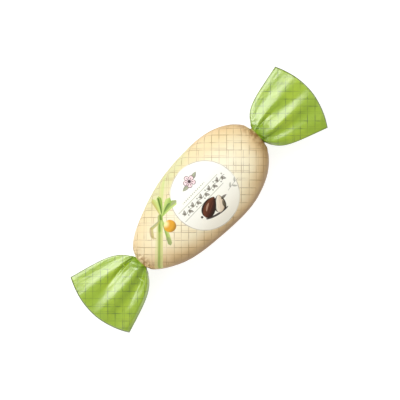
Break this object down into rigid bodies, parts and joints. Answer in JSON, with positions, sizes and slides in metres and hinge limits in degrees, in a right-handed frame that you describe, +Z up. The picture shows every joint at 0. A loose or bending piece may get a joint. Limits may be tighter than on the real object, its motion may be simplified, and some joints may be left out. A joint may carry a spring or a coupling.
{
  "type": "wrapped marzipan egg",
  "caption": "Large marzipan egg shut in a printed twist wrapper with a flat fan of film at each end, lying on its flattest side.",
  "frame": {"origin": "middle of the underside of the box round the whole pack", "axes": "+X along the egg from its narrow end to its blunt end, +Y across it, +Z up out of the side with the label"},
  "size_m": [0.169, 0.0468, 0.034],
  "materials": {
    "printed_film": "semi-gloss printed film: cream with a fine brown grid over the egg, leaf green fans at both ends"
  },
  "bodies": {
    "root": {"wrapped_egg": "printed_film"}
  },
  "joints": []
}
